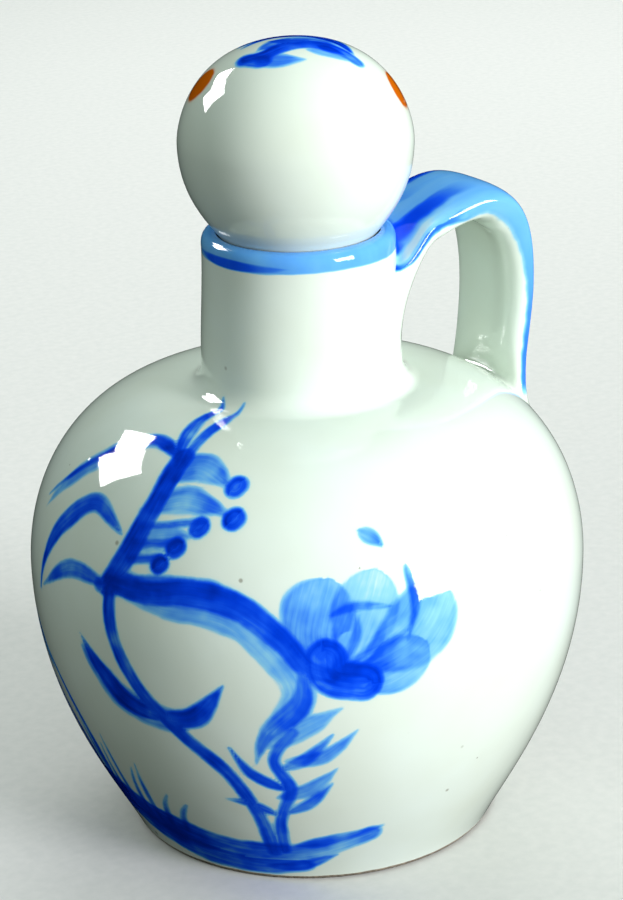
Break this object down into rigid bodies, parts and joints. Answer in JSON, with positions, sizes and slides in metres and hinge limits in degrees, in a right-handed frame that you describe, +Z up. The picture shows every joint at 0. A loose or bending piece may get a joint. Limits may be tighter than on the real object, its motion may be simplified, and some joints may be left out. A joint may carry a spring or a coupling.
{
  "type": "handled spirits jug with ball stopper",
  "caption": "Glazed stoneware jug with a rounded belly, short neck, strap handle and a hollow ball stopper on a tapered cork that lifts out and turns.",
  "frame": {"origin": "middle of the foot, on the surface the jug stands on", "axes": "+Z up along the jug's axis, +X towards the strap handle"},
  "size_m": [0.15, 0.15, 0.2149],
  "materials": {
    "jug_glaze": "glossy off-white glaze with blue brush painting",
    "handle_glaze": "glossy off-white glaze washed with light blue",
    "ball_glaze": "glossy off-white glaze with blue and orange touches",
    "cork": "natural cork, matt"
  },
  "bodies": {
    "jug": {"jug_body": "jug_glaze", "handle": "handle_glaze"},
    "cork": {"stopper_cork": "cork"},
    "ball": {"stopper_ball": "ball_glaze"}
  },
  "joints": [
    {"name": "stopper_lift", "type": "slide", "parent": "jug", "child": "cork", "axis": [0, 0, 1], "range_m": [0, 0.08]},
    {"name": "stopper_twist", "type": "hinge", "parent": "cork", "child": "ball", "pos_m": [0, 0, 0.15], "axis": [0, 0, 1], "continuous": true}
  ]
}
